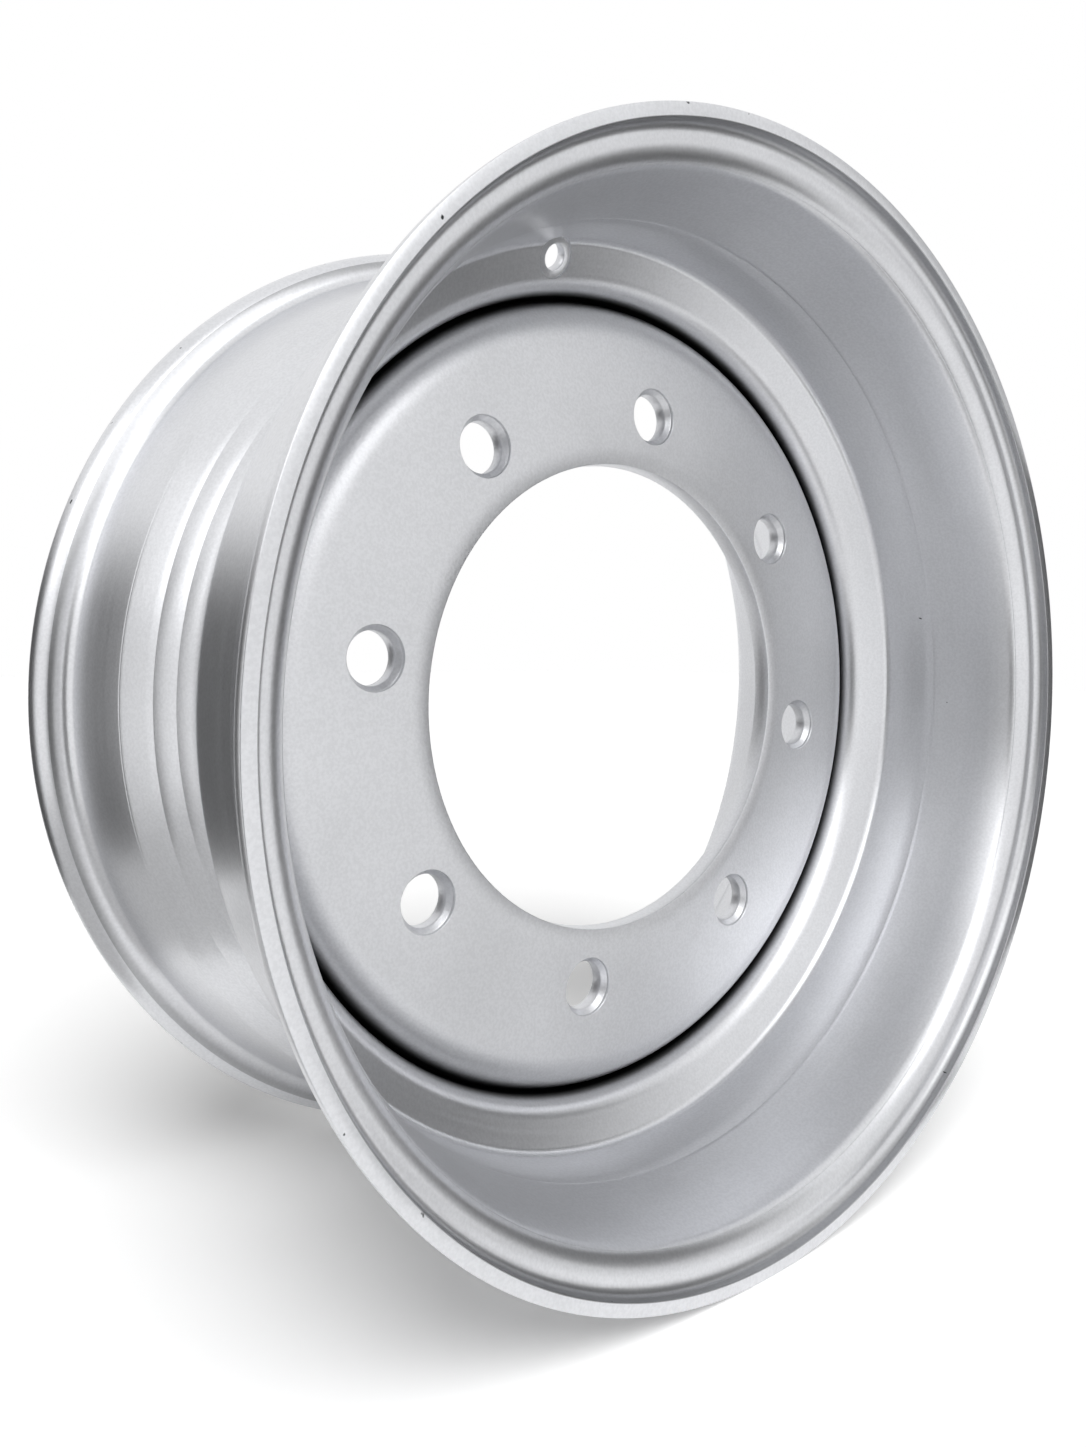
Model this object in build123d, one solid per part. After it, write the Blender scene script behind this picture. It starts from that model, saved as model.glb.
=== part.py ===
from build123d import *
import math
import os

# Steel disc wheel without a tyre, in mm.
# It stands upright: the wheel turns about Y, its outboard side looks to -Y, and +Z is up.
# The origin is the centre of the bore, in the disc's mounting face.
# "out" is a distance outboard of the mounting face, so y = -out.

# Rim contour: 17.5 in by 7.50 in, with fifteen-degree tapered bead seats
BEAD_R = 444.5 / 2
RIM_WIDTH = 190.5
FLANGE_H = 13.5
FLANGE_REACH = 12.7
SHEET = 5.5
OFFSET = 3.5
SEAT_TAPER = 15
FLANGE_LEAN = 8
HEEL_RADIUS = 6
CURL_RADIUS = 10
LIP_BREAK = 0.5

# Outboard seat, ledge and well
SEAT_LENGTH = 18
SEAT_BLEND = 120
LEDGE_START_OUT = 49.8
LEDGE_DROP = 7.35
LEDGE_TAPER = 1
LEDGE_BEND = 3
SHOULDER_OUT = 16
SHOULDER_BEND = 10.5
WALL_ANGLE = 63
WALL_FOOT_BEND = 8
WELL_DEPTH = 27.75

# Inboard slope and seat
SLOPE_ANGLE = 26
SLOPE_FOOT_BEND = 20
REAR_SEAT_LENGTH = 35.3
REAR_SEAT_BLEND = 15

# Valve hole, square to the well's steep wall and midway between two stud holes
VALVE_HOLE_R = 5.6
VALVE_SEAT_R = 9.4
VALVE_DOWN_WALL = 10.7
VALVE_SEAT_SUNK = 0.3
VALVE_EDGE = 0.35

# Disc: the skirt sits in the well, so it takes its outer radius from the sheet there
DISC_THICK = 9.5
WELL_R = BEAD_R - WELL_DEPTH
SKIRT_R = WELL_R - SHEET
CORNER_R = 19.5
SKIRT_END_OUT = -21
BORE_R = 110.5
BORE_EDGE = 0.6

# Stud holes
PCD = 275
STUDS = 8
FIRST_STUD = 82.2
STUD_R = 11.25
SEAT_MOUTH_R = 13.7
SEAT_WALL_R = 13.35
SEAT_WALL_DEPTH = 1.3
SEAT_DEPTH = 3.6
STUD_EDGE = 0.3

# Weld bead behind the skirt
WELD_LEG = 6.5
WELD_CROWN = 0.7

FULL_TURN = 360
FRONT_FLANGE_OUT = RIM_WIDTH / 2 - OFFSET
REAR_FLANGE_OUT = -RIM_WIDTH / 2 - OFFSET
FLANGE_R = BEAD_R + FLANGE_H
VALVE_ANGLE = FIRST_STUD + FULL_TURN / STUDS / 2


def sloped(degrees):
    return math.tan(math.radians(degrees))


def section(points):
    # (out, radius) pairs become points in the XY plane, ready to turn about Y
    return [(radius, -out) for out, radius in points]


def turned(face):
    return revolve(face, axis=Axis.Y, revolution_arc=FULL_TURN)


def tyre_side_line():
    # the rim's surface on the tyre side, from the outboard lip to the inboard lip
    lean = FLANGE_H * sloped(FLANGE_LEAN)
    front_seat_r = BEAD_R - SEAT_LENGTH * sloped(SEAT_TAPER)
    front_seat_out = FRONT_FLANGE_OUT - SEAT_LENGTH
    ledge_r = BEAD_R - LEDGE_DROP
    shoulder_r = ledge_r - (LEDGE_START_OUT - SHOULDER_OUT) * sloped(LEDGE_TAPER)
    foot_out = SHOULDER_OUT - (shoulder_r - WELL_R) / sloped(WALL_ANGLE)
    rear_seat_r = BEAD_R - REAR_SEAT_LENGTH * sloped(SEAT_TAPER)
    rear_seat_out = REAR_FLANGE_OUT + REAR_SEAT_LENGTH
    slope_foot_out = rear_seat_out + (rear_seat_r - WELL_R) / sloped(SLOPE_ANGLE)
    points = [
        (FRONT_FLANGE_OUT + FLANGE_REACH, FLANGE_R),
        (FRONT_FLANGE_OUT + lean, FLANGE_R),
        (FRONT_FLANGE_OUT, BEAD_R),
        (front_seat_out, front_seat_r),
        (LEDGE_START_OUT, ledge_r),
        (SHOULDER_OUT, shoulder_r),
        (foot_out, WELL_R),
        (slope_foot_out, WELL_R),
        (rear_seat_out, rear_seat_r),
        (REAR_FLANGE_OUT, BEAD_R),
        (REAR_FLANGE_OUT - lean, FLANGE_R),
        (REAR_FLANGE_OUT - FLANGE_REACH, FLANGE_R),
    ]
    bends = [
        CURL_RADIUS,
        HEEL_RADIUS,
        SEAT_BLEND,
        LEDGE_BEND,
        SHOULDER_BEND,
        WALL_FOOT_BEND,
        SLOPE_FOOT_BEND,
        REAR_SEAT_BLEND,
        HEEL_RADIUS,
        CURL_RADIUS,
    ]
    return FilletPolyline(*section(points), radius=bends), (SHOULDER_OUT, shoulder_r)


def valve_plane(shoulder):
    # on the wall's tyre side, looking out through the hole towards the wheel's axis
    lean = math.radians(WALL_ANGLE)
    out = shoulder[0] - VALVE_DOWN_WALL * math.cos(lean)
    radius = shoulder[1] - VALVE_DOWN_WALL * math.sin(lean)
    turn = math.radians(VALVE_ANGLE)
    across = (math.cos(turn), math.sin(turn))
    origin = (radius * across[0], -out, radius * across[1])
    looks = (-math.cos(lean) * across[0], -math.sin(lean), -math.cos(lean) * across[1])
    return Plane(origin=origin, z_dir=looks)


def plug(plane, radius, start, end):
    return plane.offset(start) * Cylinder(radius, end - start, align=(Align.CENTER, Align.CENTER, Align.MIN))


def make_rim():
    line, shoulder = tyre_side_line()
    sheet = make_face(line.wire().offset_2d(SHEET, side=Side.LEFT, closed=True))
    by_axis = sheet.vertices().group_by(Axis.Y)
    sheet = chamfer(by_axis[0] + by_axis[-1], LIP_BREAK)
    hoop = turned(sheet)
    plane = valve_plane(shoulder)
    clear = 3 * SHEET
    seat_end = SHEET - VALVE_SEAT_SUNK
    hoop += plug(plane, VALVE_SEAT_R, VALVE_SEAT_SUNK, seat_end)
    hoop -= plug(plane, VALVE_SEAT_R, seat_end, clear)
    hoop -= plug(plane, VALVE_SEAT_R, -SHEET, VALVE_SEAT_SUNK)
    hoop -= plug(plane, VALVE_HOLE_R, -SHEET, clear)
    rings = hoop.edges().filter_by(GeomType.CIRCLE)
    mouths = [ring for ring in rings if abs(ring.radius - VALVE_HOLE_R) < VALVE_EDGE]
    return chamfer(mouths, VALVE_EDGE)


def make_disc():
    points = [
        (0, BORE_R),
        (DISC_THICK, BORE_R),
        (DISC_THICK, SKIRT_R),
        (SKIRT_END_OUT, SKIRT_R),
        (SKIRT_END_OUT, SKIRT_R - DISC_THICK),
        (0, SKIRT_R - DISC_THICK),
    ]
    outline = make_face(Polyline(*section(points), close=True))
    outer = outline.vertices().sort_by_distance((SKIRT_R, -DISC_THICK, 0))[0]
    outline = fillet(outer, CORNER_R)
    inner = outline.vertices().sort_by_distance((SKIRT_R - DISC_THICK, 0, 0))[0]
    outline = fillet(inner, CORNER_R - DISC_THICK)
    bore = outline.vertices().group_by(Axis.X)[0]
    outline = chamfer(bore, BORE_EDGE)
    return turned(outline) - stud_tools()


def stud_tools():
    # one turned cutter per stud: a short straight mouth, a conical seat and the hole itself
    profile = Polyline(
        (0, -DISC_THICK - 1),
        (STUD_R + STUD_EDGE + 1, -DISC_THICK - 1),
        (STUD_R, -DISC_THICK + STUD_EDGE),
        (STUD_R, -SEAT_DEPTH),
        (SEAT_WALL_R, -SEAT_WALL_DEPTH),
        (SEAT_MOUTH_R, 0),
        (SEAT_MOUTH_R, 1),
        (0, 1),
        close=True,
    )
    cutter = revolve(make_face(Plane.XZ * profile), axis=Axis.Z, revolution_arc=FULL_TURN)
    tools = []
    for index in range(STUDS):
        turn = math.radians(FIRST_STUD + index * FULL_TURN / STUDS)
        place = (PCD / 2 * math.cos(turn), -DISC_THICK, PCD / 2 * math.sin(turn))
        tools.append(Plane(origin=place, z_dir=(0, -1, 0)) * cutter)
    return tools


def make_weld(rim):
    # a slightly crowned fillet between the skirt's end and the well, trimmed to the well's surface
    toe_out = SKIRT_END_OUT - WELD_LEG
    root = (SKIRT_END_OUT, SKIRT_R + SHEET / 2)
    top = (SKIRT_END_OUT, SKIRT_R - WELD_LEG)
    toe = (toe_out, SKIRT_R)
    middle = (
        SKIRT_END_OUT - WELD_LEG / 2 - WELD_CROWN / math.sqrt(2),
        SKIRT_R - WELD_LEG / 2 - WELD_CROWN / math.sqrt(2),
    )
    under = (toe_out, SKIRT_R + SHEET / 2)
    crown = ThreePointArc(*section([top, middle, toe]))
    sides = Polyline(*section([toe, under, root, top]))
    bead = turned(make_face(crown + sides))
    return bead - rim


rim = make_rim()
disc = make_disc()
disc_weld = make_weld(rim)

os.makedirs("parts", exist_ok=True)
export_step(rim, "parts/rim.step")
export_step(disc, "parts/disc.step")
export_step(disc_weld, "parts/disc_weld.step")
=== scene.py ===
"""A pressed-steel disc wheel without a tyre, in silver paint, standing in a plain pale studio.

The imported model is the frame. The rim, the disc and its weld bead are spun again here from the same
sizes, fine enough for reflections, and dressed in sprayed aluminium paint.
"""

import logging
import math
from dataclasses import dataclass
from enum import Enum
from typing import Sequence

import bmesh
import bpy
from mathutils import Matrix, Vector


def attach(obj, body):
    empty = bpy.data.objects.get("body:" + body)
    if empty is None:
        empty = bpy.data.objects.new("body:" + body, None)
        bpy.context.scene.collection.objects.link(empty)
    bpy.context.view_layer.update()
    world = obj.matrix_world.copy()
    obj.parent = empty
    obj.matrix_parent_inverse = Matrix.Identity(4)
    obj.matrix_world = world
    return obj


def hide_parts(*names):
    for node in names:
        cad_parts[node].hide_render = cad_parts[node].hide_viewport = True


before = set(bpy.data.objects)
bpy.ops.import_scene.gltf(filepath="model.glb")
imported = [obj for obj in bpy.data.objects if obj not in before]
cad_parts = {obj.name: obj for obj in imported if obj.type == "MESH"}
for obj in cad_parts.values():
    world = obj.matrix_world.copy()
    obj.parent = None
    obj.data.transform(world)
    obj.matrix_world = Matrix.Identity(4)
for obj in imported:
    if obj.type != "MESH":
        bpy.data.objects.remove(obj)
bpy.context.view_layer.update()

LOG = logging.getLogger("wheel")
MM = 0.001
ROOT = "root"
UP = Vector((0, 0, 1))
WHEEL_AXIS = Vector((0, 1, 0))
SECTORS = 24
WELD_DISTANCE = 2e-6
Point2 = tuple[float, float]
Point3 = tuple[float, float, float]

# A groove's section in shares of its width and depth, and how near the end of a run it may lie
GROOVE_SECTION = ((-0.5, 0), (-0.2, 1), (0.2, 1), (0.5, 0))
GROOVE_MARGIN = 0.52

# The values between which most of a fine noise and most of the streaks lie
NOISE_SPAN = (0.3, 0.7)
STREAK_SPAN = (0.25, 0.75)


def to_linear(colour: str) -> tuple[float, float, float, float]:
    """Turn an sRGB hex colour into linear red, green, blue and alpha.

    Args:
        colour: Six hex digits with a leading hash.

    Returns:
        Four linear values, alpha 1.
    """
    parts = [int(colour[i : i + 2], 16) / 255 for i in (1, 3, 5)]
    linear = [c / 12.92 if c <= 0.04045 else ((c + 0.055) / 1.055) ** 2.4 for c in parts]
    return (*linear, 1.0)


def add_node(
    tree: bpy.types.NodeTree, kind: str, links: dict[str | int, object] | None = None, **settings: object
) -> bpy.types.Node:
    """Add one node with its settings and incoming links.

    Args:
        tree: The node tree that takes it.
        kind: The node's Blender type.
        links: Input name or number to an output socket, or to a constant value.
        settings: Attributes of the node itself.

    Returns:
        The new node.
    """
    node = tree.nodes.new(kind)
    for name, value in settings.items():
        setattr(node, name, value)
    for name, value in (links or {}).items():
        socket = node.inputs[name]
        if isinstance(value, bpy.types.NodeSocket):
            tree.links.new(value, socket)
        else:
            socket.default_value = value
    return node


def folded(
    tree: bpy.types.NodeTree, operation: str, sockets: Sequence[bpy.types.NodeSocket]
) -> bpy.types.NodeSocket:
    """Join several values into one by the same operation.

    Args:
        tree: The node tree that takes the nodes.
        operation: The operation between two values, such as MULTIPLY or MAXIMUM.
        sockets: The values, at least one.

    Returns:
        The joined value.
    """
    total = sockets[0]
    for socket in sockets[1:]:
        total = add_node(tree, "ShaderNodeMath", {0: total, 1: socket}, operation=operation).outputs["Value"]
    return total


@dataclass(frozen=True)
class Fade:
    """A smooth change from a first level to a last one, while a value goes from start to end."""

    start: float
    end: float
    first: float = 0.0
    last: float = 1.0

    def of(self, tree: bpy.types.NodeTree, value: bpy.types.NodeSocket) -> bpy.types.NodeSocket:
        """Follow a value.

        Args:
            tree: The material's node tree.
            value: The value that the level follows.

        Returns:
            The level.
        """
        node = add_node(
            tree, "ShaderNodeMapRange",
            {"Value": value, "From Min": self.start, "From Max": self.end,
             "To Min": self.first, "To Max": self.last},
            interpolation_type="SMOOTHSTEP",
        )
        return node.outputs["Result"]


class Side(Enum):
    """Which side of a section line the steel lies on."""

    LEFT = 1
    RIGHT = -1


@dataclass(frozen=True)
class Score:
    """A fine groove left by a roll or a press tool, all the way round. Millimetres."""

    out: float
    width: float = 0.5
    depth: float = 0.06


@dataclass(frozen=True)
class Bend:
    """One corner of a section: its place in (out, radius) millimetres and its bend radius."""

    out: float
    radius: float
    bend: float = 0.0


@dataclass(frozen=True)
class RolledPath:
    """A section line of straight runs and tangent arcs, with its normal at every point."""

    corners: tuple[Bend, ...]
    max_turn: float = 6.0

    def stations(self) -> list[tuple[Vector, Vector]]:
        """Sample the line.

        Returns:
            (point, left normal) pairs from the first corner to the last, in (out, radius) millimetres.
        """
        marks: list[tuple[Vector, Vector]] = []
        spots = [Vector((c.out, c.radius)) for c in self.corners]
        for index, corner in enumerate(self.corners):
            here = spots[index]
            if index == 0 or index == len(spots) - 1:
                run = (spots[index + 1] - here) if index == 0 else (here - spots[index - 1])
                marks.append((here, self.left(run.normalized())))
                continue
            before = (here - spots[index - 1]).normalized()
            after = (spots[index + 1] - here).normalized()
            turn = math.atan2(before.cross(after), before.dot(after))
            reach = corner.bend * math.tan(abs(turn) / 2)
            count = max(2, math.ceil(abs(math.degrees(turn)) / self.max_turn))
            start = here - before * reach
            centre = start + self.left(before) * corner.bend * math.copysign(1, turn)
            for k in range(count + 1):
                spin = Matrix.Rotation(turn * k / count, 2)
                marks.append((centre + spin @ (start - centre), spin @ self.left(before)))
        return marks

    @staticmethod
    def left(direction: Vector) -> Vector:
        """Return the direction turned a quarter to its left."""
        return Vector((-direction.y, direction.x))


def scored(line: Sequence[Vector], scores: Sequence[Score], steel: Side) -> list[Vector]:
    """Press fine grooves into an open section line.

    Args:
        line: Points of the line as (out, radius) millimetres.
        scores: The grooves, each placed by its distance along the wheel's axis.
        steel: Side of the line on which the steel lies.

    Returns:
        The points with those of the grooves added.
    """
    marked = [line[0]]
    for a, b in zip(line, line[1:]):
        along = (b - a).normalized()
        into = RolledPath.left(along) * steel.value
        for score in scores:
            if not min(a.x, b.x) <= score.out < max(a.x, b.x):
                continue
            margin = GROOVE_MARGIN * score.width / (b - a).length
            share = min(max((score.out - a.x) / (b.x - a.x), margin), 1 - margin)
            spot = a.lerp(b, share)
            for shift, depth in GROOVE_SECTION:
                marked.append(spot + along * score.width * shift + into * score.depth * depth)
        marked.append(b)
    return marked


def divided(line: Sequence[Vector], longest: float) -> list[Vector]:
    """Divide long straight runs so that the spun mesh has even quads.

    Args:
        line: Points of an open line.
        longest: Longest run left, in the line's units.

    Returns:
        The points with the added ones.
    """
    dense = [line[0]]
    for a, b in zip(line, line[1:]):
        pieces = max(1, math.ceil((b - a).length / longest))
        dense += [a.lerp(b, k / pieces) for k in range(1, pieces + 1)]
    return dense


def repeated(one: bmesh.types.BMesh, places: Sequence[Matrix]) -> bmesh.types.BMesh:
    """Set copies of a mesh at several places and weld them where they meet.

    Args:
        one: The mesh to copy, which is freed.
        places: Where the copies stand.

    Returns:
        All the copies, with their normals outwards.
    """
    shape = bpy.data.meshes.new("one")
    one.to_mesh(shape)
    one.free()
    every = bmesh.new()
    for place in places:
        known = len(every.verts)
        every.from_mesh(shape)
        every.verts.ensure_lookup_table()
        bmesh.ops.transform(every, matrix=place, verts=every.verts[known:])
    bpy.data.meshes.remove(shape)
    bmesh.ops.remove_doubles(every, verts=every.verts, dist=WELD_DISTANCE)
    bmesh.ops.recalc_face_normals(every, faces=every.faces)
    return every


def spun(name: str, outline: Sequence[Vector], steps: int) -> bpy.types.Object:
    """Spin a closed outline a full turn about the wheel's axis.

    Args:
        name: The new object's name.
        outline: Closed outline as (out, radius) millimetres, without its first point repeated.
        steps: Number of steps in the full turn, a multiple of SECTORS.

    Returns:
        The object, in metres, with its normals outwards.
    """
    sector = bmesh.new()
    verts = [sector.verts.new((p.y * MM, -p.x * MM, 0)) for p in outline]
    edges = [sector.edges.new((a, b)) for a, b in zip(verts, verts[1:] + verts[:1])]
    bmesh.ops.spin(
        sector, geom=verts + edges, cent=(0, 0, 0), axis=WHEEL_AXIS, angle=math.tau / SECTORS,
        steps=steps // SECTORS, use_merge=False, use_duplicate=False,
    )
    turns = [Matrix.Rotation(math.tau * k / SECTORS, 4, WHEEL_AXIS) for k in range(SECTORS)]
    return finished(name, repeated(sector, turns))


def finished(name: str, bm: bmesh.types.BMesh) -> bpy.types.Object:
    """Turn a bmesh into a linked object at the origin.

    Args:
        name: The new object's name.
        bm: The mesh, which is freed.

    Returns:
        The linked object.
    """
    mesh = bpy.data.meshes.new(name)
    bm.to_mesh(mesh)
    bm.free()
    piece = bpy.data.objects.new(name, mesh)
    bpy.context.scene.collection.objects.link(piece)
    return piece


def turned_tool(profile: Sequence[Point2], places: Sequence[Matrix], steps: int = 96) -> bpy.types.Object:
    """Spin a closed solid about its own axis, once for each place where it is wanted.

    Args:
        profile: (radius, height) millimetres from the lower end on the axis to the upper end on it.
        places: Where the tool's axis stands, z along the hole.
        steps: Number of steps in the full turn.

    Returns:
        One object with all the tools, used up by combined().
    """
    one = bmesh.new()
    verts = [one.verts.new((r * MM, 0, h * MM)) for r, h in profile]
    edges = [one.edges.new((a, b)) for a, b in zip(verts, verts[1:])]
    bmesh.ops.spin(
        one, geom=verts + edges, cent=(0, 0, 0), axis=UP, angle=math.tau, steps=steps,
        use_merge=True, use_duplicate=False,
    )
    return finished("tool", repeated(one, places))


def combined(piece: bpy.types.Object, tool: bpy.types.Object, operation: str) -> None:
    """Add a closed tool to a piece or cut it out, then remove the tool.

    Args:
        piece: The closed mesh object that changes.
        tool: One closed mesh object, whose parts don't touch each other.
        operation: UNION or DIFFERENCE.
    """
    boolean = piece.modifiers.new("tool", "BOOLEAN")
    boolean.operation = operation
    boolean.solver = "EXACT"
    boolean.object = tool
    shape = bpy.data.meshes.new_from_object(piece.evaluated_get(bpy.context.evaluated_depsgraph_get()))
    piece.modifiers.clear()
    old, piece.data = piece.data, shape
    bpy.data.meshes.remove(old)
    mesh = tool.data
    bpy.data.objects.remove(tool)
    bpy.data.meshes.remove(mesh)


def smoothed(piece: bpy.types.Object, crease_degrees: float) -> None:
    """Shade a piece smooth, with edges over an angle left sharp."""
    piece.data.polygons.foreach_set("use_smooth", [True] * len(piece.data.polygons))
    piece.data.set_sharp_from_angle(angle=math.radians(crease_degrees))


def dressed(piece: bpy.types.Object, node: str, finish: bpy.types.Material) -> bpy.types.Object:
    """Hang a finished piece on the frame in place of a CAD node.

    Args:
        piece: The visual piece.
        node: The CAD node that it stands for.
        finish: The material.

    Returns:
        The same piece.
    """
    piece.data.materials.clear()
    piece.data.materials.append(finish)
    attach(piece, ROOT)
    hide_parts(node)
    LOG.info("%s: %d faces in %s", piece.name, len(piece.data.polygons), finish.name)
    return piece


@dataclass(frozen=True)
class Spot:
    """Where a shading point lies on the wheel, as sockets in metres."""

    place: bpy.types.NodeSocket
    radius: bpy.types.NodeSocket
    across: bpy.types.NodeSocket

    @classmethod
    def of(cls, tree: bpy.types.NodeTree) -> "Spot":
        """Work the place, the radius and the place along the axis out of the object's coordinates.

        Args:
            tree: The material's node tree.

        Returns:
            The shading point.
        """
        place = add_node(tree, "ShaderNodeTexCoord").outputs["Object"]
        flat = add_node(tree, "ShaderNodeVectorMath", {0: place, 1: (1, 0, 1)}, operation="MULTIPLY")
        radius = add_node(tree, "ShaderNodeVectorMath", {0: flat.outputs["Vector"]}, operation="LENGTH")
        parts = add_node(tree, "ShaderNodeSeparateXYZ", {"Vector": place})
        return cls(place, radius.outputs["Value"], parts.outputs["Y"])


@dataclass(frozen=True)
class Nick:
    """A small scrape through the paint: where it lies, its size and how it leans. Millimetres, degrees.

    The steel shows in full out to the core and the full coat begins at the fringe, as shares of the scrape's
    size.
    """

    out: float
    radius: float
    turn: float
    length: float
    width: float
    lean: float = 0.0
    core: float = 0.35
    fringe: float = 0.6

    def mask(self, tree: bpy.types.NodeTree, spot: Spot) -> bpy.types.NodeSocket:
        """Give 1 inside the scrape and 0 outside it.

        Args:
            tree: The material's node tree.
            spot: The shading point.

        Returns:
            The mask's socket.
        """
        turn = math.radians(self.turn)
        centre = Vector((self.radius * math.cos(turn), -self.out, self.radius * math.sin(turn))) * MM
        local = add_node(
            tree, "ShaderNodeMapping",
            {"Vector": spot.place, "Location": centre, "Rotation": (math.radians(self.lean), -turn, 0),
             "Scale": (self.width * MM, self.length * MM, self.width * MM)},
            vector_type="TEXTURE",
        )
        away = add_node(tree, "ShaderNodeVectorMath", {0: local.outputs["Vector"]}, operation="LENGTH")
        edge = add_node(
            tree, "ShaderNodeMapRange",
            {"Value": away.outputs["Value"], "From Min": self.core, "From Max": self.fringe,
             "To Min": 1.0, "To Max": 0.0},
        )
        return edge.outputs["Result"]


class WearAndShade(Enum):
    """Where the paint is drawn dark: steel showing through chips, and painted shade at the bottom of the gap.
    """

    # Painted shade: the bottom of the gap is drawn in the dark colour
    GAP_SHADE = "bottom of the gap between the disc and the rim"
    LIPS = "chips along the sheared lips"


@dataclass(frozen=True)
class SilverPaint:
    """Aluminium-flake acrylic sprayed on steel in one thin coat: pale, neutral and softly mirror-like.

    The flakes give broad reflections with a little scatter between them. The rolls leave faint streaks
    round the rim, the spray leaves a fine orange-peel grain, and small chips on the sheared edges show
    dark mill scale. Painted shade darkens the hollow just behind the lip and the bottom of the gap
    between the disc and the rim. Sizes are in millimetres where their names say so, and the places of
    the worn and shaded parts are in metres.
    """

    name: str
    colour: str = "#dcdde0"
    # Dark steel at the nicks and chips, and the colour of the painted shade at the gap's bottom
    bare_and_shade: str = "#2a2b2d"
    metallic: float = 0.86
    roughness: float = 0.34
    rolled: bool = False
    streak_mm: Point2 = (160.0, 2.6)
    streak_height_mm: float = 0.0005
    streak_tone: float = 0.012
    streak_gloss: float = 0.015
    grain_mm: float = 1.3
    grain_height_mm: float = 0.03
    flake_tone: float = 0.04
    mottle_mm: float = 70.0
    mottle_tone: float = 0.03
    # Painted shade: how much darker the hollow just behind the lip is drawn
    hollow_shade_tone: float = 0.4
    hollow_out: Fade = Fade(98.0 * MM, 100.5 * MM)
    hollow_radius: Fade = Fade(225.0 * MM, 228.5 * MM)
    hollow_top: float = 230.7 * MM
    # Where the bottom of the gap is painted dark as shade
    gap_across: Fade = Fade(-6.0 * MM, 1.5 * MM)
    gap_radius: Fade = Fade(181.0 * MM, 187.0 * MM)
    gap_back: float = 20.5 * MM
    gap_top: float = 193.5 * MM
    chip_out: Fade = Fade(103.2 * MM, 104.2 * MM)
    chip_mm: float = 5.5
    chip_level: Fade = Fade(0.71, 0.75)
    wear_and_shade: tuple[WearAndShade, ...] = ()
    nicks: tuple[Nick, ...] = ()

    def streaks(self, tree: bpy.types.NodeTree, spot: Spot) -> bpy.types.NodeSocket:
        """Draw streaks round the wheel: long in its turning direction, short across it.

        Args:
            tree: The material's node tree.
            spot: The shading point.

        Returns:
            The streaks, from 0 to 1.
        """
        along, across = (1 / (size * MM) for size in self.streak_mm)
        place = add_node(
            tree, "ShaderNodeVectorMath", {0: spot.place, 1: (along, across, along)}, operation="MULTIPLY"
        )
        ring = add_node(tree, "ShaderNodeMath", {0: spot.radius, 1: across}, operation="MULTIPLY")
        noise = add_node(
            tree, "ShaderNodeTexNoise",
            {"Vector": place.outputs["Vector"], "W": ring.outputs["Value"], "Scale": 1.0, "Detail": 3.0},
            noise_dimensions="4D",
        )
        return noise.outputs["Fac"]

    def hollow(self, tree: bpy.types.NodeTree, spot: Spot) -> bpy.types.NodeSocket:
        """Mark the hollow side of the curled flange, just behind the lip, which gets painted shade.

        Args:
            tree: The material's node tree.
            spot: The shading point.

        Returns:
            1 in the hollow and 0 elsewhere.
        """
        out = add_node(tree, "ShaderNodeMath", {0: spot.across}, operation="ABSOLUTE")
        under = add_node(tree, "ShaderNodeMath", {0: spot.radius, 1: self.hollow_top}, operation="LESS_THAN")
        return folded(tree, "MULTIPLY", [
            under.outputs["Value"],
            self.hollow_out.of(tree, out.outputs["Value"]),
            self.hollow_radius.of(tree, spot.radius),
        ])

    def gap(self, tree: bpy.types.NodeTree, spot: Spot) -> bpy.types.NodeSocket:
        """Mark the bottom of the narrow gap between the disc's corner and the rim's wall, which gets painted
        shade.

        Args:
            tree: The material's node tree.
            spot: The shading point.

        Returns:
            1 at the gap's bottom and 0 elsewhere.
        """
        under = add_node(tree, "ShaderNodeMath", {0: spot.radius, 1: self.gap_top}, operation="LESS_THAN")
        before = add_node(tree, "ShaderNodeMath", {0: spot.across, 1: self.gap_back}, operation="LESS_THAN")
        return folded(tree, "MULTIPLY", [
            under.outputs["Value"],
            before.outputs["Value"],
            self.gap_across.of(tree, spot.across),
            self.gap_radius.of(tree, spot.radius),
        ])

    def chips(self, tree: bpy.types.NodeTree, spot: Spot) -> bpy.types.NodeSocket:
        """Mark small chips along the two sheared lips.

        Args:
            tree: The material's node tree.
            spot: The shading point.

        Returns:
            1 in the chips and 0 elsewhere.
        """
        out = add_node(tree, "ShaderNodeMath", {0: spot.across}, operation="ABSOLUTE")
        flaws = add_node(
            tree, "ShaderNodeTexNoise",
            {"Vector": spot.place, "Scale": 1 / (self.chip_mm * MM), "Detail": 2.0},
        )
        return folded(tree, "MULTIPLY", [
            self.chip_out.of(tree, out.outputs["Value"]),
            self.chip_level.of(tree, flaws.outputs["Fac"]),
        ])

    def bared_and_shaded(self, tree: bpy.types.NodeTree, spot: Spot) -> bpy.types.NodeSocket | None:
        """Join the masks of the places where the steel shows and of the painted shade at the gap's bottom.

        Args:
            tree: The material's node tree.
            spot: The shading point.

        Returns:
            1 where the steel shows and where the gap's bottom gets painted shade, 0 elsewhere, and None on a
            piece with neither.
        """
        masks = [nick.mask(tree, spot) for nick in self.nicks]
        if WearAndShade.GAP_SHADE in self.wear_and_shade:
            masks.append(self.gap(tree, spot))
        if WearAndShade.LIPS in self.wear_and_shade:
            masks.append(self.chips(tree, spot))
        return folded(tree, "MAXIMUM", masks) if masks else None

    def material(self) -> bpy.types.Material:
        """Build the paint's material.

        Returns:
            The material.
        """
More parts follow.
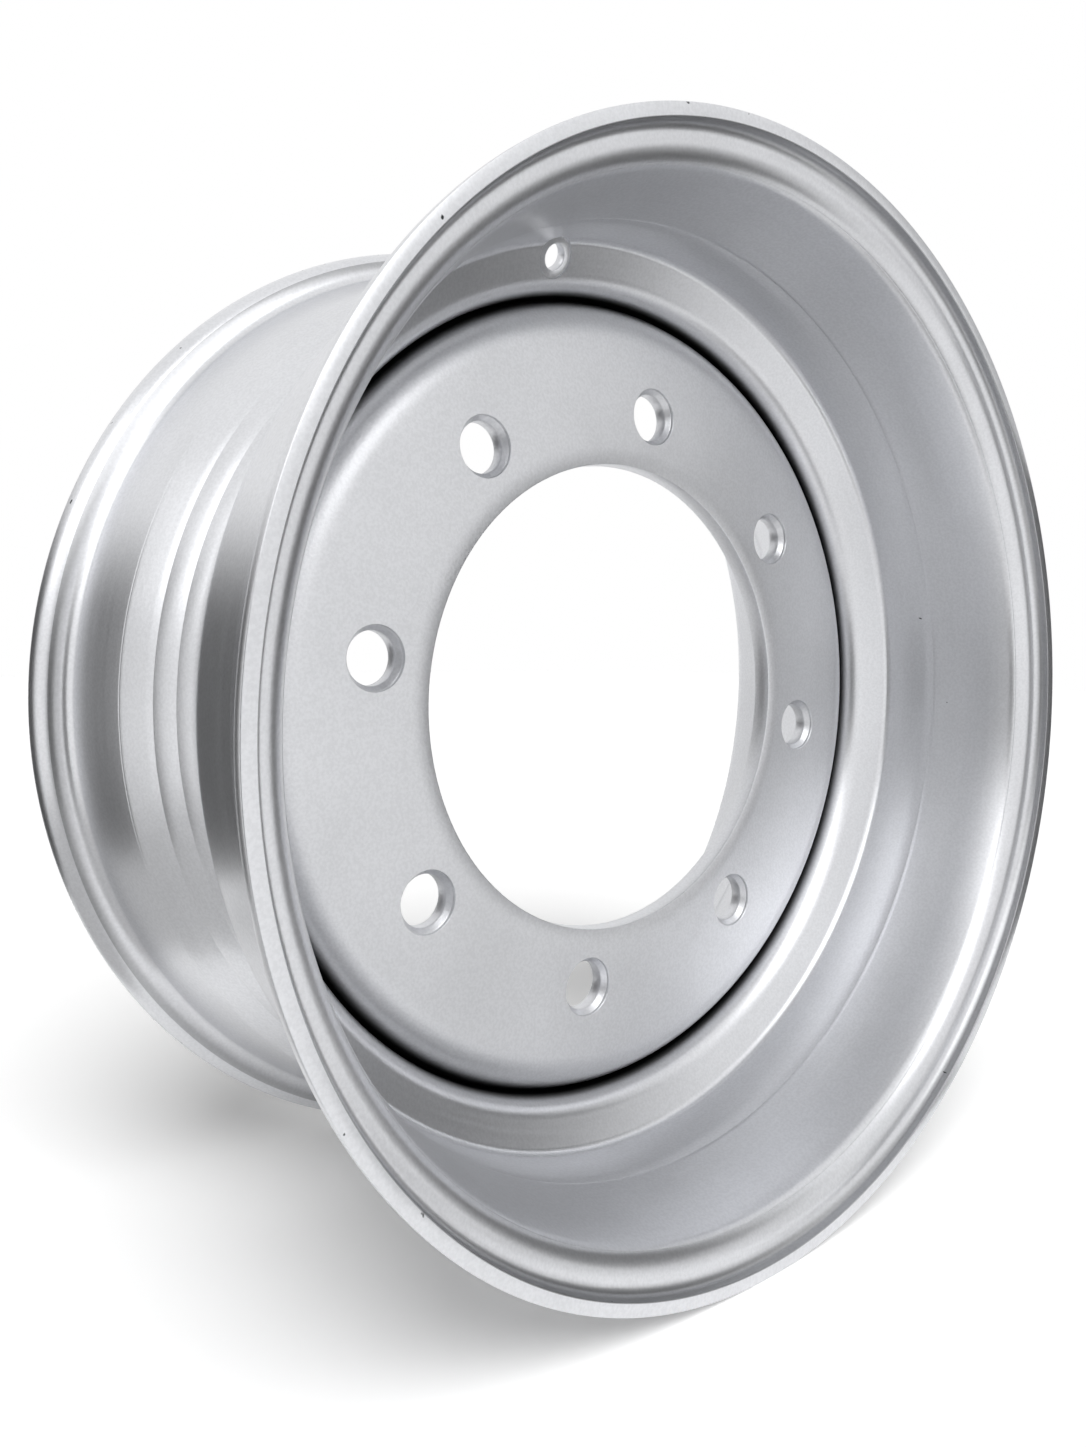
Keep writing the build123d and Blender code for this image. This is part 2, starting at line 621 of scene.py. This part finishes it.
        # Sprayed aluminium flakes on steel: a pale neutral metal with broad, slightly grainy reflections
        paint = bpy.data.materials.new(self.name)
        paint.use_nodes = True
        tree = paint.node_tree
        shader = tree.nodes["Principled BSDF"]
        shader.inputs["Metallic"].default_value = self.metallic
        shader.inputs["Roughness"].default_value = self.roughness
        spot = Spot.of(tree)
        cloud = add_node(
            tree, "ShaderNodeTexNoise",
            {"Vector": spot.place, "Scale": 1 / (self.mottle_mm * MM), "Detail": 3.0},
        ).outputs["Fac"]
        # Real flakes are finer than the render shows, so their grain is drawn as coarse as it needs to show
        grain = add_node(
            tree, "ShaderNodeTexNoise",
            {"Vector": spot.place, "Scale": 1 / (self.grain_mm * MM), "Detail": 2.0},
        ).outputs["Fac"]
        shades = [
            Fade(*NOISE_SPAN, 1 - self.mottle_tone, 1 + self.mottle_tone).of(tree, cloud),
            Fade(*NOISE_SPAN, 1 - self.flake_tone, 1 + self.flake_tone).of(tree, grain),
        ]
        relief = {"Height": grain, "Strength": 1.0, "Distance": self.grain_height_mm * MM}
        if self.rolled:
            streak = self.streaks(tree, spot)
            shades.append(Fade(*STREAK_SPAN, 1 - self.streak_tone, 1 + self.streak_tone).of(tree, streak))
            # Painted shade: the hollow just behind the lip is drawn darker
            shades.append(Fade(0.0, 1.0, 1.0, 1 - self.hollow_shade_tone).of(tree, self.hollow(tree, spot)))
            gloss = Fade(*STREAK_SPAN, self.roughness - self.streak_gloss, self.roughness + self.streak_gloss)
            tree.links.new(gloss.of(tree, streak), shader.inputs["Roughness"])
            rolled_steel = add_node(
                tree, "ShaderNodeBump",
                {"Height": streak, "Strength": 1.0, "Distance": self.streak_height_mm * MM},
            )
            relief["Normal"] = rolled_steel.outputs["Normal"]
        peel = add_node(tree, "ShaderNodeBump", relief)
        tree.links.new(peel.outputs["Normal"], shader.inputs["Normal"])
        coat = add_node(
            tree, "ShaderNodeVectorMath",
            {0: to_linear(self.colour)[:3], "Scale": folded(tree, "MULTIPLY", shades)}, operation="SCALE",
        ).outputs["Vector"]
        # Dark steel at the nicks and chips; the gap's bottom takes the same dark colour as painted shade
        steel = self.bared_and_shaded(tree, spot)
        if steel is not None:
            coat = add_node(
                tree, "ShaderNodeMix", {0: steel, 6: coat, 7: to_linear(self.bare_and_shade)}, data_type="RGBA"
            ).outputs[2]
        tree.links.new(coat, shader.inputs["Base Color"])
        return paint


@dataclass
class Rim:
    """The rolled hoop: flanges, tapered bead seats, ledge, deep well and valve hole. Millimetres.

    The marks of the valve's groove are how far its start, its bottom's start and its bottom's end lie
    inside the edge of the flat seat. The pad's overlap is its own, in radius and in height.
    """

    bead_radius: float = 222.25
    front_flange_out: float = 91.75
    rear_flange_out: float = -98.75
    flange_height: float = 13.5
    flange_reach: float = 12.7
    sheet: float = 5.5
    seat_taper: float = 15.0
    flange_lean: float = 8.0
    heel_bend: float = 6.0
    curl_bend: float = 10.0
    front_seat_length: float = 18.0
    front_seat_bend: float = 120.0
    ledge_out: float = 49.8
    ledge_drop: float = 7.35
    ledge_bend: float = 3.0
    ledge_taper: float = 1.0
    shoulder_out: float = 16.0
    shoulder_bend: float = 10.5
    wall_angle: float = 63.0
    wall_foot_bend: float = 8.0
    well_radius: float = 194.5
    slope_angle: float = 26.0
    slope_bend: float = 20.0
    rear_seat_length: float = 35.3
    rear_seat_bend: float = 15.0
    lip_round: float = 0.5
    valve_turn: float = 104.7
    valve_down_wall: float = 10.7
    valve_radius: float = 5.6
    valve_seat_radius: float = 9.4
    valve_seat_sunk: float = 0.3
    valve_edge: float = 0.45
    valve_press: float = 0.15
    valve_groove_depth: float = 0.35
    valve_groove_marks: Point3 = (0.75, 0.6, 0.25)
    punch_reach: float = 12.0
    punch_flare: float = 0.4
    pad_overlap: Point2 = (0.05, 0.02)
    axle_scores: tuple[Score, ...] = (
        Score(92.6, 0.6, 0.09), Score(48.2, 0.5, 0.05), Score(21.6, 0.5, 0.06),
        Score(-60.0, 0.5, 0.05), Score(-99.4, 0.5, 0.06),
    )
    tyre_scores: tuple[Score, ...] = (
        Score(74.5, 0.5, 0.05), Score(-36.5, 0.5, 0.05), Score(-47.5, 0.6, 0.06), Score(-64.0, 0.5, 0.05),
    )
    longest_run: float = 12.0
    steps: int = 360

    @property
    def shoulder(self) -> Vector:
        """Give the corner between the ledge and the well's steep wall."""
        fall = (self.ledge_out - self.shoulder_out) * math.tan(math.radians(self.ledge_taper))
        return Vector((self.shoulder_out, self.bead_radius - self.ledge_drop - fall))

    def tyre_side(self) -> RolledPath:
        """Lay out the sheet's tyre side from the front lip to the rear lip.

        Returns:
            The line with its bends.
        """
        lean = self.flange_height * math.tan(math.radians(self.flange_lean))
        taper = math.tan(math.radians(self.seat_taper))
        flange = self.bead_radius + self.flange_height
        ledge = self.bead_radius - self.ledge_drop
        shoulder, steepness = self.shoulder, math.tan(math.radians(self.wall_angle))
        foot = shoulder.x - (shoulder.y - self.well_radius) / steepness
        rear_seat = Vector((self.rear_flange_out + self.rear_seat_length,
                            self.bead_radius - self.rear_seat_length * taper))
        slope_foot = rear_seat.x + (rear_seat.y - self.well_radius) / math.tan(math.radians(self.slope_angle))
        front, rear = self.front_flange_out, self.rear_flange_out
        return RolledPath((
            Bend(front + self.flange_reach, flange),
            Bend(front + lean, flange, self.curl_bend),
            Bend(front, self.bead_radius, self.heel_bend),
            Bend(front - self.front_seat_length, self.bead_radius - self.front_seat_length * taper,
                 self.front_seat_bend),
            Bend(self.ledge_out, ledge, self.ledge_bend),
            Bend(shoulder.x, shoulder.y, self.shoulder_bend),
            Bend(foot, self.well_radius, self.wall_foot_bend),
            Bend(slope_foot, self.well_radius, self.slope_bend),
            Bend(rear_seat.x, rear_seat.y, self.rear_seat_bend),
            Bend(rear, self.bead_radius, self.heel_bend),
            Bend(rear - lean, flange, self.curl_bend),
            Bend(rear - self.flange_reach, flange),
        ))

    def outline(self) -> list[Vector]:
        """Close the section: the tyre side, a rounded cut edge, the axle side and the other cut edge.

        Returns:
            The outline as (out, radius) millimetres.
        """
        stations = self.tyre_side().stations()
        tyre = [p for p, _ in stations]
        axle = [p + n * self.sheet for p, n in stations]
        for side in (tyre, axle):
            side[0] -= Vector((self.lip_round, 0))
            side[-1] += Vector((self.lip_round, 0))
        front_edge = self.cut_edge(axle[0], tyre[0], 1)
        rear_edge = self.cut_edge(tyre[-1], axle[-1], -1)
        tyre = scored(divided(tyre, self.longest_run), self.tyre_scores, Side.LEFT)
        axle = scored(divided(axle, self.longest_run), self.axle_scores, Side.RIGHT)
        return tyre + rear_edge + axle[::-1] + front_edge

    def cut_edge(self, start: Vector, end: Vector, outward: int) -> list[Vector]:
        """Round the two corners of a sheared sheet edge.

        Args:
            start: Last point of the side before the edge.
            end: First point of the side after it.
            outward: 1 at the front lip, -1 at the rear lip.

        Returns:
            Points between start and end, both left out.
        """
        across = (end - start).normalized()
        marks = []
        for corner, sense in ((start, 1), (end, -1)):
            arc = []
            for degrees in (30, 60, 90):
                a = math.radians(degrees)
                arc.append(corner + Vector((outward * self.lip_round * math.sin(a), 0))
                           + across * sense * self.lip_round * (1 - math.cos(a)))
            marks += arc if sense == 1 else arc[::-1]
        return marks

    def valve_frame(self) -> Matrix:
        """Stand a frame on the wall's tyre side, its z towards the axle side, along the valve hole.

        Returns:
            The frame, in metres.
        """
        lean = math.radians(self.wall_angle)
        out = self.shoulder.x - self.valve_down_wall * math.cos(lean)
        radius = self.shoulder.y - self.valve_down_wall * math.sin(lean)
        turn = math.radians(self.valve_turn)
        across = Vector((math.cos(turn), 0, math.sin(turn)))
        place = (across * radius - WHEEL_AXIS * out) * MM
        looks = -across * math.cos(lean) - WHEEL_AXIS * math.sin(lean)
        return Matrix.Translation(place) @ looks.to_track_quat("Z", "Y").to_matrix().to_4x4()

    def press_valve_seat(self, hoop: bpy.types.Object) -> None:
        """Flatten the wall round the valve hole on both sides, then pierce it.

        Args:
            hoop: The spun hoop, which changes.
        """
        r, seat, sunk = self.valve_radius, self.valve_seat_radius, self.valve_seat_sunk
        top, edge, press, bite = self.sheet - sunk, self.valve_edge, self.valve_press, self.valve_groove_depth
        bend, wide, deep = 0.3 * edge, seat + self.punch_flare, self.punch_reach
        start, bottom, end = (seat - mark for mark in self.valve_groove_marks)
        side, face = self.pad_overlap
        stand = [self.valve_frame()]
        pad = [(0, sunk + face), (seat + side, sunk + face), (seat + side, top - face), (0, top - face)]
        punch = [
            (0, -deep), (wide, -deep), (seat, sunk - press), (seat - press, sunk), (r + edge, sunk),
            (r + bend, sunk + bend), (r, sunk + edge), (r, top - edge), (r + bend, top - bend),
            (r + edge, top), (start, top), (bottom, top - bite), (end, top - bite),
            (seat, top + 1.5 * press), (wide, deep), (0, deep),
        ]
        combined(hoop, turned_tool(pad, stand), "UNION")
        combined(hoop, turned_tool(punch, stand), "DIFFERENCE")

    def build(self, paint: bpy.types.Material) -> bpy.types.Object:
        """Spin the hoop, press and pierce the valve hole and paint it.

        Args:
            paint: The material that dresses it.

        Returns:
            The finished rim.
        """
        hoop = spun("rim_hoop", self.outline(), self.steps)
        self.press_valve_seat(hoop)
        smoothed(hoop, crease_degrees=24)
        return dressed(hoop, "rim", paint)


@dataclass
class Disc:
    """The pressed centre disc: bore, ring of seated stud holes, rounded corner and skirt. Millimetres.

    Each pair of mouth_edge is how far a point of the mouth's broken edge lies past the mouth's radius
    and how high over the face.
    """

    skirt_radius: float
    thickness: float = 9.5
    bore_radius: float = 110.5
    bore_edge: float = 0.6
    corner_bend: float = 19.5
    skirt_end_out: float = -21.0
    stud_circle: float = 275.0
    studs: int = 8
    first_stud: float = 82.2
    stud_radius: float = 11.25
    mouth_radius: float = 13.7
    mouth_wall_radius: float = 13.35
    mouth_depth: float = 1.3
    seat_depth: float = 3.6
    stud_edge: float = 0.3
    mouth_edge: tuple[Point2, ...] = ((-0.22, -0.4), (-0.06, -0.12), (0.35, 0.25))
    tool_reach: float = 2.0
    tool_flare: float = 0.6
    seat_inset: float = 0.1
    seat_foot: float = 0.25
    seat_grooves: int = 5
    seat_groove_depth: float = 0.035
    longest_run: float = 9.0
    steps: int = 384

    def outline(self) -> list[Vector]:
        """Close the section from the bore round the corner to the skirt's end and back inside.

        Returns:
            The outline as (out, radius) millimetres.
        """
        t, r, c = self.thickness, self.skirt_radius, self.corner_bend
        outer = RolledPath((
            Bend(t, self.bore_radius + self.bore_edge),
            Bend(t, r, c),
            Bend(self.skirt_end_out, r),
        )).stations()
        inner = RolledPath((
            Bend(self.skirt_end_out, r - t),
            Bend(0, r - t, c - t),
            Bend(0, self.bore_radius + self.bore_edge),
        )).stations()
        line = [p for p, _ in outer]
        back = [p for p, _ in inner]
        e = self.bore_edge
        bore = [Vector((e * 0.3, self.bore_radius + e * 0.3)), Vector((e, self.bore_radius)),
                Vector((t - e, self.bore_radius)), Vector((t - e * 0.3, self.bore_radius + e * 0.3))]
        return divided(line, self.longest_run) + divided(back, self.longest_run) + bore

    def stud_frames(self) -> list[Matrix]:
        """Stand a frame at each stud hole's mouth, its z outboard.

        Returns:
            The frames, in metres.
        """
        turn_out = (-WHEEL_AXIS).to_track_quat("Z", "Y").to_matrix().to_4x4()
        frames = []
        for index in range(self.studs):
            turn = math.radians(self.first_stud + index * 360 / self.studs)
            r = self.stud_circle / 2
            spot = Vector((r * math.cos(turn), -self.thickness, r * math.sin(turn))) * MM
            frames.append(Matrix.Translation(spot) @ turn_out)
        return frames

    def stud_tool(self) -> bpy.types.Object:
        """Make the turned cutters of all the stud holes.

        Returns:
            One object with all the cutters.
        """
        t, e, hole, inset = self.thickness, self.stud_edge, self.stud_radius, self.seat_inset
        wall, mouth, reach = self.mouth_wall_radius, self.mouth_radius, self.tool_reach
        foot = Vector((hole + inset, -self.seat_depth))
        rim = Vector((wall - inset, -self.mouth_depth - inset))
        inward = RolledPath.left((rim - foot).normalized())
        cone = []
        for k in range(self.seat_grooves * 2):
            ridge = self.seat_groove_depth * (k % 2)
            cone.append(tuple(foot.lerp(rim, (k + 0.5) / (self.seat_grooves * 2)) + inward * ridge))
        profile = [
            (0, -t - reach), (hole + 3 * e, -t - reach), (hole + 0.35 * e, -t + 0.35 * e),
            (hole, -t + 1.2 * e), (hole, -self.seat_depth - self.seat_foot),
            tuple(foot), *cone, tuple(rim), (wall, -self.mouth_depth),
            *((mouth + past, height) for past, height in self.mouth_edge),
            (mouth + self.tool_flare, reach), (0, reach),
        ]
        return turned_tool(profile, self.stud_frames())

    def build(self, paint: bpy.types.Material) -> bpy.types.Object:
        """Spin the disc, cut the stud holes and paint it.

        Args:
            paint: The material that dresses it.

        Returns:
            The finished disc.
        """
        plate = spun("centre_disc", self.outline(), self.steps)
        combined(plate, self.stud_tool(), "DIFFERENCE")
        smoothed(plate, crease_degrees=24)
        return dressed(plate, "disc", paint)


@dataclass
class WeldBead:
    """The fillet weld between the skirt's end and the well, with its ripples. Millimetres."""

    skirt_end_out: float
    skirt_radius: float
    leg: float = 6.5
    crown: float = 0.7
    ripple_pitch: float = 3.6
    ripple_height: float = 0.4
    ripple_bow: float = 9.0
    ripple_slant: float = 0.7
    root_clear: float = 0.5
    runs: int = 8
    steps: int = 1440

    def outline(self) -> list[Vector]:
        """Close the bead's section, with its root against the skirt and the well.

        Returns:
            The outline as (out, radius) millimetres.
        """
        out, r = self.skirt_end_out, self.skirt_radius
        arc = []
        for k in range(self.runs + 1):
            share = k / self.runs
            bulge = self.crown * math.sin(math.pi * share) / math.sqrt(2)
            arc.append(Vector((out - self.leg * share - bulge, r - self.leg * (1 - share) - bulge)))
        return arc + [Vector((out, r))]

    def build(self, paint: bpy.types.Material) -> bpy.types.Object:
        """Spin the bead, press the ripples into it and paint it.

        Args:
            paint: The material that dresses it.

        Returns:
            The finished weld bead.
        """
        bead = spun("disc_weld_bead", self.outline(), self.steps)
        root = Vector((self.skirt_end_out, self.skirt_radius)) * MM
        for vert in bead.data.vertices:
            x, y, z = vert.co
            radius = math.hypot(x, z)
            away = Vector((-y, radius)) - root
            if away.length < self.root_clear * MM:
                continue
            # A ripple bows along the bead, as the edge of a cooling weld pool does
            along = math.atan2(z, x) * self.skirt_radius
            bow = math.sqrt(abs(away.x)) * self.ripple_bow
            wave = abs(math.sin(math.pi * (along / self.ripple_pitch + bow)))
            edge = min(1.0, abs(away.x) / MM, abs(away.y) / MM)
            press = self.ripple_height * MM * (1 - wave) * edge * self.ripple_slant
            grown = (radius + press) / radius
            vert.co = (x * grown, y - press, z * grown)
        smoothed(bead, crease_degrees=50)
        return dressed(bead, "disc_weld", paint)


def seen(tree: bpy.types.NodeTree) -> bpy.types.NodeSocket:
    """Part what the camera, metal and glass see from the light that falls on matt things.

    Args:
        tree: The material's or the world's node tree.

    Returns:
        1 for rays from the camera, metal or glass, and 0 once a matt surface has scattered them.
    """
    path = add_node(tree, "ShaderNodeLightPath").outputs
    shown = folded(
        tree, "MAXIMUM", [path["Is Glossy Ray"], path["Is Transmission Ray"], path["Is Camera Ray"]]
    )
    direct = add_node(tree, "ShaderNodeMath", {0: path["Diffuse Depth"], 1: 0.5}, operation="LESS_THAN")
    return folded(tree, "MULTIPLY", [shown, direct.outputs["Value"]])


@dataclass(frozen=True)
class Card:
    """A plain card beside the wheel that only the paint's reflections show. Metres and degrees.

    Its shade is how bright its middle looks, where 1 is white. Its turn is the compass angle from +Y
    towards +X at which it stands, and its lift is the height of its middle over the wheel's axis. Its
    lean is 90 where it stands and 0 where it lies flat. Each side fades to white over the share of the
    width and the height that soft gives, so that its reflection has no hard end.
    """

    name: str
    shade: float
    turn: float
    lift: float
    size: Point2
    away: float
    lean: float = 90.0
    soft: float = 0.0

    def middle(self) -> Vector:
        """Place the card's middle."""
        turn = math.radians(self.turn)
        return Vector((math.sin(turn), math.cos(turn), 0)) * self.away + UP * self.lift

    def brightness(self, tree: bpy.types.NodeTree) -> bpy.types.NodeSocket | float:
        """Fade the card's shade to white towards its edges, where it is soft.

        Args:
            tree: The card's node tree.

        Returns:
            The brightness, a plain number on a card with hard edges.
        """
        if not self.soft:
            return self.shade
        place = add_node(tree, "ShaderNodeTexCoord").outputs["Object"]
        local = add_node(
            tree, "ShaderNodeMapping",
            {"Vector": place, "Location": self.middle(), "Scale": (*self.size, 1),
             "Rotation": (math.radians(self.lean), 0, -math.radians(self.turn))},
            vector_type="TEXTURE",
        )
        apart = add_node(tree, "ShaderNodeVectorMath", {0: local.outputs["Vector"]}, operation="ABSOLUTE")
        sides = add_node(tree, "ShaderNodeSeparateXYZ", {"Vector": apart.outputs["Vector"]}).outputs
        edge = folded(tree, "MAXIMUM", [sides["X"], sides["Y"]])
        return Fade(0.5 - self.soft, 0.5, self.shade, 1.0).of(tree, edge)

    def face(self) -> bpy.types.Material:
        """Make the card's face.

        Returns:
            The material.
        """
        # Matt card: no gloss of its own, so that the paint mirrors a plain tone
        board = bpy.data.materials.new("matt card")
        board.use_nodes = True
        tree = board.node_tree
        shader = tree.nodes["Principled BSDF"]
        shader.inputs["Base Color"].default_value = to_linear("#000000")
        shader.inputs["Specular IOR Level"].default_value = 0.0
        shader.inputs["Emission Color"].default_value = to_linear("#ffffff")
        level = add_node(
            tree, "ShaderNodeMath", {0: seen(tree), 1: self.brightness(tree)}, operation="MULTIPLY"
        )
        tree.links.new(level.outputs["Value"], shader.inputs["Emission Strength"])
        return board

    def build(self) -> None:
        """Stand the card in its place."""
        bm = bmesh.new()
        bmesh.ops.create_grid(bm, x_segments=1, y_segments=1, size=0.5)
        bmesh.ops.scale(bm, vec=(*self.size, 1), verts=bm.verts)
        for degrees, axis in ((self.lean, "X"), (-self.turn, "Z")):
            turn = Matrix.Rotation(math.radians(degrees), 3, axis)
            bmesh.ops.rotate(bm, cent=(0, 0, 0), matrix=turn, verts=bm.verts)
        bmesh.ops.translate(bm, vec=self.middle(), verts=bm.verts)
        card = finished(self.name, bm)
        card.visible_camera = card.visible_diffuse = card.visible_shadow = False
        card.data.materials.append(self.face())


@dataclass
class Studio:
    """Pale floor, soft light and the camera at the photograph's place."""

    camera_place: Point3 = (-0.35894, -0.38046, 0.02819)
    camera_right: Point3 = (0.77706, -0.62925, 0.01517)
    camera_up: Point3 = (0.0, 0.02410, 0.99971)
    focal_mm: float = 26.70
    sensor_mm: float = 36.0
    nearest: float = 0.01
    shift: Point2 = (0.01055, -0.04642)
    floor_height: float = -0.23575
    floor_size: float = 6.0
    floor_glow: float = 0.27
    card_gap: float = 0.002
    fill: float = 0.12

    def camera(self) -> None:
        """Stand the camera where the photograph was taken from."""
        lens = bpy.data.cameras.new("camera")
        lens.lens = self.focal_mm
        lens.sensor_fit = "AUTO"
        lens.sensor_width = self.sensor_mm
        lens.shift_x, lens.shift_y = self.shift
        lens.clip_start = self.nearest
        eye = bpy.data.objects.new("camera", lens)
        right = Vector(self.camera_right).normalized()
        up = Vector(self.camera_up)
        up = (up - right * up.dot(right)).normalized()
        turn = Matrix((right, up, right.cross(up))).transposed()
        eye.matrix_world = Matrix.Translation(self.camera_place) @ turn.to_4x4()
        bpy.context.scene.collection.objects.link(eye)
        bpy.context.scene.camera = eye

    def floor(self) -> None:
        """Lay a wide pale floor that keeps the wheel's shadow and is lifted to white where it is seen."""
        bm = bmesh.new()
        bmesh.ops.create_grid(bm, x_segments=1, y_segments=1, size=self.floor_size)
        bmesh.ops.translate(bm, vec=UP * self.floor_height, verts=bm.verts)
        ground = finished("floor", bm)
        # Matt white paper: even and without gloss, so that it shows the soft shadow alone
        paper = bpy.data.materials.new("white paper floor")
        paper.use_nodes = True
        tree = paper.node_tree
        shader = tree.nodes["Principled BSDF"]
        shader.inputs["Base Color"].default_value = to_linear("#fbfbfb")
        shader.inputs["Roughness"].default_value = 0.9
        shader.inputs["Specular IOR Level"].default_value = 0.0
        shader.inputs["Emission Color"].default_value = to_linear("#ffffff")
        level = add_node(tree, "ShaderNodeMath", {0: seen(tree), 1: self.floor_glow}, operation="MULTIPLY")
        tree.links.new(level.outputs["Value"], shader.inputs["Emission Strength"])
        ground.data.materials.append(paper)

    def sun(self, turn: float, rise: float, strength: float, spread: float) -> None:
        """Light the room softly from above, out of the paint's reflections.

        Args:
            turn: Compass angle in degrees from +Y towards +X from which it shines.
            rise: Angle over the horizon in degrees.
            strength: Light on a surface square to it, where pi is white.
            spread: Apparent width of the source in degrees.
        """
        lamp = bpy.data.lights.new("soft_sun", "SUN")
        lamp.energy, lamp.angle = strength, math.radians(spread)
        stand = bpy.data.objects.new("soft_sun", lamp)
        t, r = math.radians(turn), math.radians(rise)
        way = Vector((math.sin(t) * math.cos(r), math.cos(t) * math.cos(r), math.sin(r)))
        stand.matrix_world = way.to_track_quat("Z", "Y").to_matrix().to_4x4()
        stand.visible_glossy = False
        bpy.context.scene.collection.objects.link(stand)

    def world(self) -> None:
        """Fill the room with soft light, and show the camera, metal and glass a white backdrop."""
        room = bpy.data.worlds.new("studio")
        room.use_nodes = True
        bpy.context.scene.world = room
        tree = room.node_tree
        level = add_node(
            tree, "ShaderNodeMapRange", {"Value": seen(tree), "To Min": self.fill, "To Max": 1.0}
        )
        sky = tree.nodes["Background"]
        sky.inputs["Color"].default_value = to_linear("#ffffff")
        tree.links.new(level.outputs["Result"], sky.inputs["Strength"])

    def cards(self) -> tuple[Card, ...]:
        """List the cards: two bright ones overhead, then the dark and grey ones that give the paint depth.

        Returns:
            The cards, not yet built.
        """
        flat = self.floor_height + self.card_gap
        return (
            Card("key_card", shade=2.6, turn=204, lift=0.95, size=(1.35, 1.1), away=0.9),
            Card("left_card", shade=2.0, turn=268, lift=0.75, size=(0.8, 0.9), away=1.1),
            Card("photographer_card", shade=0.05, turn=236, lift=-0.05, size=(0.44, 0.5), away=0.62,
                 soft=0.25),
            Card("rear_left_card", shade=0.01, turn=313, lift=-0.05, size=(0.46, 0.62), away=0.5, soft=0.3),
            Card("rear_far_card", shade=0.15, turn=325, lift=-0.02, size=(0.6, 0.45), away=0.8),
            Card("right_card", shade=0.04, turn=115, lift=-0.02, size=(0.5, 0.42), away=0.6),
            Card("right_high_card", shade=0.5, turn=115, lift=0.6, size=(0.5, 0.6), away=1.1),
            Card("front_floor_card", shade=0.4, turn=157, lift=flat, size=(0.35, 0.16), away=0.305, lean=0.0),
            Card("left_floor_card", shade=0.55, turn=275, lift=flat, size=(0.6, 0.4), away=0.46, lean=0.0),
        )

    def build(self) -> None:
        """Set up the camera, the floor and the light."""
        bpy.context.scene.view_settings.view_transform = "Standard"
        self.camera()
        self.floor()
        self.world()
        self.sun(turn=208, rise=54, strength=2.75, spread=38)
        for card in self.cards():
            card.build()


def main() -> None:
    """Build the wheel, then the studio round it."""
    logging.basicConfig(level=logging.INFO, format="%(name)s: %(message)s")
    scrapes = (
        Nick(out=42.4, radius=209.3, turn=11.6, length=2.2, width=0.7, lean=20),
        Nick(out=101.6, radius=230.2, turn=-53.4, length=2.4, width=0.7),
        Nick(out=57.0, radius=210.2, turn=-1.5, length=0.8, width=0.5),
    )
    rim = Rim()
    disc = Disc(skirt_radius=rim.well_radius - rim.sheet)
    weld = WeldBead(disc.skirt_end_out, disc.skirt_radius)
    rim_paint = SilverPaint(
        "silver paint on rolled steel", roughness=0.3, rolled=True, wear_and_shade=(WearAndShade.GAP_SHADE, WearAndShade.LIPS), nicks=scrapes
    )
    disc_paint = SilverPaint(
        "silver paint on pressed steel", roughness=0.38, grain_height_mm=0.08, wear_and_shade=(WearAndShade.GAP_SHADE,)
    )
    rim.build(rim_paint.material())
    disc.build(disc_paint.material())
    weld.build(SilverPaint("silver paint on weld bead").material())
    Studio().build()


if __name__ == "__main__":
    main()
